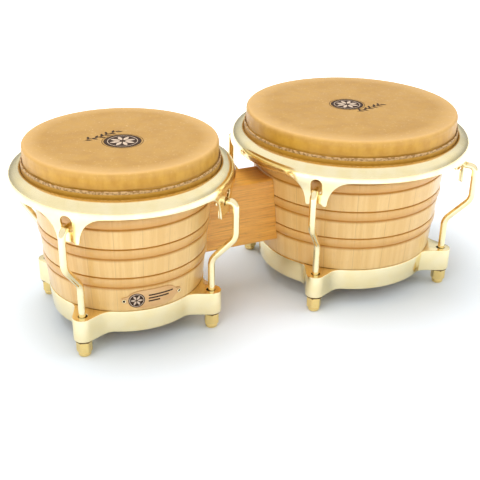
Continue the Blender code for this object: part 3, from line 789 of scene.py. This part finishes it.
def make_rim(d, material):
    """A sheet over the hoop, from its inner edge over the crest and down to the ears' tips."""
    edge = d.skin
    line = curve_through([
        (0.0021, 0.1588), (0.0021, 0.1615), (0.0022, 0.1632), (0.0031, 0.1650), (0.0050, 0.16575),
        (0.0070, 0.1655), (0.0095, 0.1647), (0.0121, 0.1632), (0.0143, 0.1607), (0.0156, 0.1573),
        (0.0162, 0.1535), (0.0162, 0.1500), (0.0158, 0.1462), (0.0151, 0.1420), (0.0146, 0.1375),
        (0.0145, 0.1330), (0.0145, 0.1240)])
    length = np.concatenate([[0], np.cumsum(np.linalg.norm(np.diff(line, axis=0), axis=1))])
    skirt = int(np.argmax(line[:, 1]))

    def reach(height):
        """How far along the sheet's line this height is, on its outer side."""
        return float(np.interp(-height, -line[skirt:, 1], length[skirt:]))

    def at(distance):
        return float(np.interp(distance, length, line[:, 0])), float(np.interp(distance, length, line[:, 1]))

    face = edge + EAR_OUT
    near = [0.0, 0.0012, 0.0024, 0.0034, 0.0042, 0.0048, 0.0053, 0.0057, WINDOW_HALF, 0.0066, 0.0072,
            0.0080, 0.0088, 0.0095, 0.0099, 0.0102, 0.0104, 0.0106, 0.0111, 0.0116, 0.0122, 0.0128,
            0.0136, 0.0145, 0.0155, 0.0166, 0.0180, 0.0194, 0.0211, 0.0230, 0.0250, 0.0270, 0.0290,
            0.0315, 0.0345, 0.0375, 0.0400]
    offsets = [-x for x in reversed(near[1:])] + near
    top, low = window_edges(WINDOW_HALF)
    whole = reach(lower_edge(WINDOW_HALF))
    shares = reach(top) / whole, reach(low) / whole
    rows = (46, 8, 8)  # above, beside and below the windows
    between = 36  # columns between two ears
    bm = bmesh.new()
    rings, in_window = [], []
    far = math.asin(near[-1] / face)
    gap = math.pi / 2 - 2 * far
    for lug in LUG_ANGLES:
        places = [(math.radians(lug) + math.asin(x / face), x) for x in offsets]
        places += [(math.radians(lug) + far + gap * k / between, near[-1]) for k in range(1, between)]
        for angle, offset in places:
            end = reach(lower_edge(offset))
            if abs(offset) <= WINDOW_HALF:
                a, b = (reach(height) for height in window_edges(offset))
            else:
                a, b = shares[0] * end, shares[1] * end
            ends = [0, a, b, end]
            spots = [ends[i] + (ends[i + 1] - ends[i]) * k / rows[i]
                     for i in range(3) for k in range(rows[i])]
            points = []
            for spot in spots + [end]:
                out, height = at(spot)
                radius = edge + out
                points.append((radius * math.cos(angle), radius * math.sin(angle), height))
            rings.append(ring_of(bm, points))
            in_window.append(abs(offset) <= WINDOW_HALF)
    size = len(rings)
    for i in range(size):
        n = (i + 1) % size
        a, b = rings[i], rings[n]
        for k in range(len(a) - 1):
            if not (rows[0] <= k < rows[0] + rows[1] and in_window[i] and in_window[n]):
                bm.faces.new([a[k], a[k + 1], b[k + 1], b[k]])
    loose = [v for v in bm.verts if not v.link_faces]
    bmesh.ops.delete(bm, geom=loose, context="VERTS")
    thicken(bm, RIM_SHEET, EDGE_ROUND)
    for lug in LUG_ANGLES:
        for sign in (-1, 1):
            rib = Matrix.Translation((edge + RIB_OUT, sign * RIB_ASIDE, RIB_HEIGHT))
            rounded_box(bm, RIB_SIZE, Matrix.Rotation(math.radians(lug), 4, "Z") @ rib, 0.0008)
    piece(f"{d.name}_counter_hoop", bm, material, f"{d.name}_rim_set", [f"{d.name}_rim"],
          (d.axis, 0, 0), sharp=50)


# ---- Tuning hooks, nuts and washers ----
def lug_place(d, angle):
    return polar(d.skin - LUG_INSET, angle) + Vector((d.axis, 0, 0))


def arc(centre, radius, start, end, steps):
    angles = [math.radians(start + (end - start) * i / steps) for i in range(steps + 1)]
    return [(centre[0] + radius * math.cos(a), centre[1] + radius * math.sin(a)) for a in angles]


def hook_path():
    """The rod's middle line, (out from the lug's axis, height), from its tip to its thread."""
    leg, inside = HOOK_LEG_OUT + LUG_INSET, HOOK_IN + LUG_INSET
    turned = HOOK_TOP - HOOK_TURN
    path = [(inside - HOOK_TURN, turned - HOOK_TIP_LONG + lift) for lift in (0.0, 0.0003, 0.0009)]
    path += arc((inside, turned), HOOK_TURN, 180, 90, 14)
    path += arc((leg - HOOK_BEND, HOOK_TOP - HOOK_BEND), HOOK_BEND, 90, 0, 18)
    path += [(leg, HOOK_TOP - HOOK_BEND - 0.004), (leg, HOOK_SWEEP_HIGH + 0.006)]
    radius, angle = HOOK_SWEEP_RADIUS, HOOK_SWEEP_ANGLE
    path += arc((leg - radius, HOOK_SWEEP_HIGH), radius, 0, -angle, 16)
    lean = math.radians(angle)
    slope = (leg - 2 * radius * (1 - math.cos(lean))) / math.tan(lean)
    foot = HOOK_SWEEP_HIGH - 2 * radius * math.sin(lean) - slope
    path += arc((radius, foot), radius, 180 - angle, 180, 16)
    return path + [(0, HOOK_THREAD_TOP + above) for above in (0.002, 0.0005, 0.0)]


def hook_radius(height, turn):
    """The rod's, and on the thread a ridge that winds round as it drops."""
    if height > HOOK_THREAD_TOP - 0.0001:
        return ROD_RADIUS
    phase = (height / THREAD_PITCH + turn / (2 * math.pi)) % 1
    valley = abs(2 * phase - 1)
    fade = min(1.0, (HOOK_THREAD_TOP - height) / 0.001, (height - HOOK_FOOT) / 0.0008)
    return THREAD_RADIUS - THREAD_DEPTH * valley * max(fade, 0)


def make_hook(d, number, angle, material):
    steps = round((HOOK_THREAD_TOP - HOOK_FOOT) / (THREAD_PITCH / 6))
    thread = [(0, HOOK_THREAD_TOP - (HOOK_THREAD_TOP - HOOK_FOOT) * k / steps) for k in range(1, steps + 1)]
    path = np.array(hook_path() + thread)
    along = np.gradient(path, axis=0)
    along /= np.linalg.norm(along, axis=1)[:, None]
    tip = {0: 0.55, 1: 0.82, 2: 0.96}  # the first rings narrow to a rounded end
    bm = bmesh.new()
    sides = 28
    rings = [ring_of(bm, [(path[0][0], 0, path[0][1])])]
    for i, ((x, z), (dx, dz)) in enumerate(zip(path, along)):
        points = []
        for k in range(sides):
            turn = 2 * math.pi * k / sides
            r = hook_radius(z, turn) * tip.get(i, 1)
            points.append((x - dz * r * math.cos(turn), r * math.sin(turn), z + dx * r * math.cos(turn)))
        rings.append(ring_of(bm, points))
    rings.append(ring_of(bm, [(path[-1][0], 0, path[-1][1])]))
    grid_faces(bm, rings, False)
    piece(f"{d.name}_tuning_rod_{number}", bm, material, f"{d.name}_rim_set",
          [f"{d.name}_tuning_hook_{number}"], lug_place(d, angle), angle)


def hex_body(flat, thick, bore, foot=0.0):
    """A hexagon nut whose chamfers cut curves across its flats. It may stand on a round foot."""
    brink = flat - 0.0004

    def section(angle):
        swing = (math.degrees(angle) + 30) % 60 - 30
        radius = min(flat / math.cos(math.radians(swing)), flat / math.cos(math.pi / 6) - 0.00018)
        drop = (radius - flat + 0.0004) / CHAMFER_SLOPE
        points = [(brink, thick), (radius, thick - drop), (radius, thick / 2)]
        points += [(radius, foot + drop), (brink, foot)]
        if foot:
            neck = flat - 0.0008
            points += [(neck, foot - 0.0003), (neck + 0.0002, foot - 0.0008), (neck, 0.0012)]
            points += [(neck - 0.0005, 0.0004), (neck - 0.0012, 0)]
        return points + [(bore + 0.0006, 0), (bore, 0.0006), (bore, thick - 0.0006), (bore + 0.0006, thick)]

    return columns([2 * math.pi * k / 96 for k in range(96)], section)


def make_nut(d, number, angle, nut_metal, washer_metal):
    node = f"{d.name}_tuning_nut_{number}"
    bodies = frame["record"]["behaviour"]["bodies"]
    body = next(name for name, members in bodies.items() if node in members)
    place = lug_place(d, angle)
    piece(f"{d.name}_long_nut_{number}", hex_body(NUT_FLAT, NUT_HEIGHT, NUT_BORE, NUT_FOOT), nut_metal, body,
          [node], place, angle + 30, sharp=25)
    low = RING_LOW - GAP - WASHER_THICK
    high = low + WASHER_THICK
    corners = [(WASHER_RADIUS, high, 0.0004), (WASHER_RADIUS, low, 0.0004)]
    corners += [(WASHER_HOLE, low, 0.0002), (WASHER_HOLE, high, 0.0002)]
    # Its dark metal is painted shade for the gap under the boss.
    piece(f"{d.name}_lug_washer_{number}", lathe(fillet(corners), 64), washer_metal, "root",
          [f"{d.name}_washer_{number}"], place)


# ---- Bottom ring ----
def boss_reach(lug, root, swing):
    """How far out the boss and its flanks reach, this many radians from the lug."""
    tangent = math.radians(72)
    tip = Vector((lug + BOSS_RADIUS * math.cos(tangent), BOSS_RADIUS * math.sin(tangent)))
    swing = abs(swing)
    if swing <= math.atan2(tip.y, tip.x):
        return lug * math.cos(swing) + math.sqrt(max(BOSS_RADIUS**2 - (lug * math.sin(swing)) ** 2, 0))
    along = Vector((root, BOSS_FLARE)) - tip
    ray = Vector((math.cos(swing), math.sin(swing)))
    share = (tip.y * ray.x - tip.x * ray.y) / (along.x * ray.y - along.y * ray.x)
    return (tip + along * min(share, 3.0)).length if share >= 0 else root


def smooth_max(a, b):
    share = clamp(0.5 + 0.5 * (a - b) / FLANK_BLEND)
    return b + (a - b) * share + FLANK_BLEND * share * (1 - share)


def make_bottom_ring(d, material):
    lug = d.skin - LUG_INSET
    root = shell_radius(d, RING_LOW) - SHELL_WALL / 2
    seat = RING_SEAT - GAP
    lip_top = RING_LOW + RING_LIP_THICK
    lip = shell_radius(d, RING_LOW) - RING_SEAT - RING_LIP_REACH

    def section(angle):
        boss = boss_reach(lug, root, math.radians(math.degrees(angle) % 90 - 45))
        low = smooth_max(shell_radius(d, RING_LOW) + RING_PROUD, boss)
        high = smooth_max(shell_radius(d, RING_HIGH) + RING_PROUD, boss)
        return fillet([
            (low, RING_LOW, 0.0010), (high, RING_HIGH, 0.0009),
            (shell_radius(d, RING_HIGH) - seat, RING_HIGH, 0.0003),
            (shell_radius(d, lip_top) - seat, lip_top, 0.0003),
            (lip, lip_top, 0.0004), (lip, RING_LOW, 0.0004)])

    steps = [0.35 * k for k in range(52)] + [18.2 + 1.116 * k for k in range(1, 24)]
    swings = sorted({round(s, 4) for s in steps} | {round(-s, 4) for s in steps})
    angles = [math.radians(lugs + s) for lugs in LUG_ANGLES for s in swings if -45 < s <= 45]
    deep = RING_HIGH - 0.0035  # how high the wide hole for the nut's end reaches
    wide = [(0, RING_LOW - 0.001), (BOSS_HOLE + 0.0016, RING_LOW - 0.001), (BOSS_HOLE, RING_LOW + 0.0006)]
    wide += [(BOSS_HOLE, deep), (0, deep)]
    mouth = [(0, deep - 0.001), (BOSS_MOUTH, deep - 0.001), (BOSS_MOUTH, RING_HIGH - 0.0004)]
    mouth += [(BOSS_MOUTH + 0.0012, RING_HIGH + 0.0008), (0, RING_HIGH + 0.0008)]
    cutters = []
    for angle in LUG_ANGLES:
        for profile, shift in ((wide, 0.0), (mouth, 0.0007)):
            hole = lathe(profile, 48, closed=False)
            cutters.append(moved(hole, Matrix.Translation(polar(lug - shift, angle))))
    piece(f"{d.name}_lug_ring", cut(columns(angles, section), cutters), material, "root",
          [f"{d.name}_bottom_ring"], (d.axis, 0, 0))


# ---- Block and bolts ----
def make_block(material):
    """A plank with a hollow for a shell at each end, and the bolts' holes."""
    w, r = BLOCK_HALF_WIDTH, BLOCK_ROUND
    outline = fillet([(-w, BLOCK_LOW, r), (w, BLOCK_LOW, r), (w, BLOCK_HIGH, r), (-w, BLOCK_HIGH, r)], 5)
    left, right = MACHO.axis + MACHO.foot, HEMBRA.axis - HEMBRA.foot
    bm = bmesh.new()
    rings = [ring_of(bm, [(x, y, z) for y, z in outline]) for x in (left, right)]
    grid_faces(bm, rings, False)
    bm.faces.new(rings[0])
    bm.faces.new(rings[1])
    cutters = []
    for d in (MACHO, HEMBRA):
        profile = [(0, SHELL_TOP), (shell_radius(d, SHELL_TOP) + GAP, SHELL_TOP)]
        profile += [(shell_radius(d, RING_LOW) + GAP, RING_LOW), (0, RING_LOW)]
        cutters.append(moved(lathe(profile, 256, closed=False), Matrix.Translation((d.axis, 0, 0))))
    for level in ("upper", "lower"):
        hole = lathe([(0, left), (BOLT_HOLE, left), (BOLT_HOLE, right), (0, right)], 32, closed=False)
        cutters.append(along_x(hole, middle_height(f"block_bolt_{level}")))
    piece("centre_block_wood", cut(bm, cutters), material, "root", ["centre_block"])


def make_bolt(level, steel):
    """A round-headed bolt, its two washers and its nut."""
    height = middle_height(f"block_bolt_{level}")
    low, high = (corner.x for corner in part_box(f"block_bolt_{level}"))
    neck, begin = low + BOLT_HEAD_TALL, high - BOLT_THREAD
    steps = int(BOLT_THREAD / (THREAD_PITCH / 4))
    corners = [(0, low, 0), (BOLT_HEAD * 0.45, low + 0.0004, 0.002), (BOLT_HEAD * 0.85, low + 0.002, 0.002)]
    corners += [(BOLT_HEAD, neck - 0.0008, 0.0005), (BOLT_HEAD, neck, 0.0003)]
    corners += [(BOLT_RADIUS, neck, 0.0003), (BOLT_RADIUS, begin, 0)]
    profile = fillet(corners, 3, closed=False)
    profile += [(BOLT_RADIUS - 0.0001, begin + BOLT_THREAD * k / steps) for k in range(1, steps)]
    profile += [(BOLT_RADIUS - 0.0007, high), (0, high)]

    def thread(radius, x, turn):
        if x < begin + 0.0001 or radius < BOLT_RADIUS - 0.0003:
            return radius, x
        phase = (x / THREAD_PITCH + turn / (2 * math.pi)) % 1
        return radius - THREAD_DEPTH * abs(2 * phase - 1), x

    bolt = along_x(lathe(profile, 32, closed=False, warp=thread), height)
    piece(f"bolt_{level}_steel", bolt, steel, "root", [f"block_bolt_{level}"])
    for side in ("macho", "hembra"):
        node = f"block_washer_{side}_{level}"
        a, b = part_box(node)
        radius = (b.z - a.z) / 2
        corners = [(radius, b.x, 0.0003), (radius, a.x, 0.0003)]
        corners += [(BOLT_HOLE, a.x, 0.0002), (BOLT_HOLE, b.x, 0.0002)]
        bm = along_x(lathe(fillet(corners), 64), height)
        piece(f"washer_{side}_{level}", bm, steel, "root", [node])
    a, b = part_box(f"block_nut_{level}")
    nut = moved(hex_body(BOLT_NUT_FLAT, b.x - a.x, BOLT_HOLE), Matrix.Translation((0, 0, a.x)))
    piece(f"nut_{level}_steel", along_x(nut, height), steel, "root",
          [f"block_nut_{level}"], sharp=25)


# ---- Prints and badge ----
def decal(name, patches, place_at, thick, material, place):
    """A thin print: each patch is a strip of rows of (u, v), laid on a surface and given a thickness."""
    bm = bmesh.new()
    for rows, closed in patches:
        upper = [[bm.verts.new(place_at(u, v, thick)) for u, v in row] for row in rows]
        lower = [[bm.verts.new(place_at(u, v, -thick)) for u, v in row] for row in rows]
        count = len(rows[0])
        span = range(count if closed else count - 1)
        for a in range(len(rows) - 1):
            b = a + 1
            for k in span:
                n = (k + 1) % count
                bm.faces.new([upper[a][k], upper[a][n], upper[b][n], upper[b][k]])
                bm.faces.new([lower[a][k], lower[b][k], lower[b][n], lower[a][n]])
        for k in span:
            n = (k + 1) % count
            bm.faces.new([upper[0][n], upper[0][k], lower[0][k], lower[0][n]])
            bm.faces.new([upper[-1][k], upper[-1][n], lower[-1][n], lower[-1][k]])
        if not closed:
            for a in range(len(rows) - 1):
                b = a + 1
                bm.faces.new([upper[a][0], upper[b][0], lower[b][0], lower[a][0]])
                bm.faces.new([upper[b][-1], upper[a][-1], lower[a][-1], lower[b][-1]])
    piece(name, bm, material, "root", (), place, sharp=60)


def annulus(centre, inner, outer, count=72, rows=2):
    made = []
    for i in range(rows):
        radius = inner + (outer - inner) * i / (rows - 1)
        turns = [2 * math.pi * k / count for k in range(count)]
        made.append([(centre[0] + radius * math.cos(t), centre[1] + radius * math.sin(t)) for t in turns])
    return made, True


def beside(start, c, s, along, width):
    """Three points across a petal or leaf: along its direction (c, s), then to each side."""
    return [(start[0] + along * c - w * s, start[1] + along * s + w * c) for w in (-width, 0, width)]


def petals(centre, inner, outer, count, width):
    """A plain rosette."""
    made = []
    for i in range(count):
        turn = 2 * math.pi * i / count
        c, s = math.cos(turn), math.sin(turn)
        rows = []
        for k in range(7):
            t = k / 6
            half = width * math.sin(math.pi * (0.06 + 0.88 * t))
            rows.append(beside(centre, c, s, inner + (outer - inner) * t, half))
        made.append((rows, False))
    return made


def sprig(points):
    """A stem through the points, with plain leaves to each side in turn."""
    thick, leaf, lean, spacing = 0.0013, 0.0068, math.radians(48), 6
    line = curve_through(points)
    along = np.gradient(line, axis=0)
    along /= np.linalg.norm(along, axis=1)[:, None]
    half = thick / 2 * np.sin(np.pi * np.linspace(0.08, 0.92, len(line)))
    stem = [[(p[0] - t[1] * s * h, p[1] + t[0] * s * h) for s in (-1, 1)]
            for p, t, h in zip(line, along, half)]
    made = [(stem, False)]
    for number, k in enumerate(range(4, len(line) - 4, spacing)):
        turn = math.atan2(along[k][1], along[k][0]) + lean * (1 if number % 2 else -1)
        c, s = math.cos(turn), math.sin(turn)
        rows = []
        for t in np.linspace(0, 1, 8):
            rows.append(beside(line[k], c, s, leaf * t, leaf * 0.20 * math.sin(math.pi * (0.05 + 0.9 * t))))
        made.append((rows, False))
    return made


def make_print(d, centre, radius, points, dark, pale):
    """Plain ornament printed on the head: a dark disc in a ring, with a rosette, and one sprig."""
    def on_head(u, v, lift):
        return u, v, HEAD_HEIGHT - 0.00012 + lift * (1 if lift > 0 else 6)

    place = (d.axis, 0, 0)
    disc = [annulus(centre, radius - 0.0006, radius, 96), annulus(centre, 0.0003, radius - 0.0018, 96)]
    decal(f"{d.name}_print_disc", disc, on_head, 0.00002, dark, place)
    marks = [annulus(centre, radius * 0.70, radius * 0.73, 96)]
    marks += petals(centre, radius * 0.14, radius * 0.62, 8, radius * 0.10)
    decal(f"{d.name}_print_rosette", marks, on_head, 0.00005, pale, place)
    decal(f"{d.name}_print_flourish", sprig(points), on_head, 0.00003, dark, place)


def on_shell(u, v, lift):
    """A point on the macho's face, u round it from the badge's middle and v up its slope."""
    height = BADGE_HEIGHT + v
    radius = shell_radius(MACHO, height) + GAP + lift
    angle = -math.pi / 2 + u / shell_radius(MACHO, BADGE_HEIGHT)
    return radius * math.cos(angle), radius * math.sin(angle), height


def badge_half_height(u):
    return along_table(u, (
        (0, 0.0096), (0.012, 0.0096), (0.0165, 0.0088), (0.0200, 0.0072), (0.0225, 0.0052),
        (0.0242, 0.0033), (0.0262, 0.0029), (0.0275, 0.0029), (0.0292, 0.0024), (0.0301, 0.0014),
        (BADGE_HALF, 0.0004)))


def make_badge(plate_metal, gold, dark, pale):
    bm = bmesh.new()
    spots = [BADGE_HALF * math.sin(math.pi / 2 * k / 40) for k in range(-40, 41)]
    rings = []
    for u in spots:
        half = badge_half_height(u)
        rings.append(ring_of(bm, [on_shell(u, half * k / 6, BADGE_THICK) for k in range(-6, 7)]))
    for a, b in zip(rings, rings[1:]):
        for k in range(len(a) - 1):
            bm.faces.new([a[k], b[k], b[k + 1], a[k + 1]])
    thicken(bm, BADGE_THICK, 0.0003)
    place = (MACHO.axis, 0, 0)
    piece("badge_plate_metal", bm, plate_metal, "root", ["badge_plate"], place)

    def on_plate(u, v, lift):
        return on_shell(u, v, BADGE_THICK + lift)

    middle = (-0.0158, -0.0004)
    decal("badge_disc", [annulus(middle, 0.0002, 0.0078, rows=6)], on_plate, 0.00004, dark, place)
    marks = [annulus(middle, 0.0064, 0.0069)] + petals(middle, 0.0010, 0.0056, 6, 0.0010)
    decal("badge_rosette", marks, on_plate, 0.00008, pale, place)
    bars = []
    begin = -0.0045
    for v, end in ((0.0036, 0.0205), (0.0004, 0.0160), (-0.0028, 0.0070)):
        spots = [begin + (end - begin) * k / 12 for k in range(13)]
        bars.append(([[(u, v + w) for w in (-0.0008, 0.0008)] for u in spots], False))
    decal("badge_bars", bars, on_plate, 0.00004, dark, place)
    for number in (1, 2):
        make_badge_pin(number, gold, dark)


def make_badge_pin(number, gold, dark):
    """A round-headed nail, with a dark disc in the recess of its head as painted shade. Both are turned on an
    axis out from the shell.
    """
    name = f"badge_pin_{number}"
    points = np.array([v.co for v in frame["nodes"][name].data.vertices])
    out = np.hypot(points[:, 0] - MACHO.axis, points[:, 1])
    outer, inner = out.max(), out.min()
    centre = points.mean(0)
    angle = math.degrees(math.atan2(centre[1], centre[0] - MACHO.axis))
    place = (MACHO.axis, 0, BADGE_HEIGHT)
    corners = [(0, outer - 0.0009, 0), (PIN_HEAD * 0.55, outer - 0.0009, 0.0002)]
    corners += [(PIN_HEAD * 0.72, outer, 0.0004)]
    corners += [(PIN_HEAD, outer - 0.0002, 0.0006), (PIN_HEAD * 1.15, outer - 0.0011, 0.0002)]
    corners += [(PIN_RADIUS, outer - 0.0011, 0), (PIN_RADIUS, inner + 0.001, 0), (0, inner, 0)]
    nail = moved(lathe(fillet(corners, 4, closed=False), 36, closed=False), UP_TO_X)
    piece(f"badge_nail_{number}", nail, gold, "root", [name], place, angle)
    # A thin dark disc in the head's recess: painted shade.
    wide, high, low = PIN_HEAD * 0.56, outer - 0.0006, outer - 0.0010
    recess = moved(lathe([(0, high), (wide, high), (wide, low), (0, low)], 36, closed=False), UP_TO_X)
    piece(f"badge_nail_recess_{number}", recess, dark, "root", (), place, angle)


make_camera()
make_studio()
oak, block_wood, rawhide, gold, badge_metal = (
    make_oak(), make_block_wood(), make_rawhide(), make_gold(), make_badge_metal())
# The nuts' brass is a darker, deeper copy of the gold: painted shade for where they stand low in the drums'
# shadow.
brass = make_metal("worn_brass", 240.0, 2.0, ((0.88, 0.63, 0.22), (0.94, 0.73, 0.32)), (0.10, 0.17))
# The washers' dark colour is painted shade: it stands for the dark gap under each boss.
washer_shade_metal = make_metal("dark_bronze", 300.0, 3.0, ((0.10, 0.06, 0.02), (0.20, 0.12, 0.04)), (0.38, 0.52), 0.8)
steel = make_metal("zinc_steel", 420.0, 4.0, ((0.52, 0.52, 0.53), (0.70, 0.69, 0.66)), (0.26, 0.42))
dark_ink = make_ink("dark_ink", (0.045, 0.026, 0.018), (0.12, 0.07, 0.04), 0.6)
pale_ink = make_ink("pale_ink", (0.62, 0.48, 0.36), (0.40, 0.28, 0.18), 0.5)

for d, seed in ((MACHO, 1), (HEMBRA, 2)):
    make_shell(d, oak)
    make_skin(d, rawhide, seed)
    make_rim(d, gold)
    make_bottom_ring(d, gold)
    for number, angle in enumerate(LUG_ANGLES, 1):
        make_hook(d, number, angle, gold)
        make_nut(d, number, angle, brass, washer_shade_metal)
    materials = frame["nodes"][f"{d.name}_flesh_hoop"].data.materials
    materials.clear()
    materials.append(steel)
make_block(block_wood)
for level in ("upper", "lower"):
    make_bolt(level, steel)
make_badge(badge_metal, gold, dark_ink, pale_ink)
make_print(MACHO, *MACHO_PRINT, dark_ink, pale_ink)
make_print(HEMBRA, *HEMBRA_PRINT, dark_ink, pale_ink)
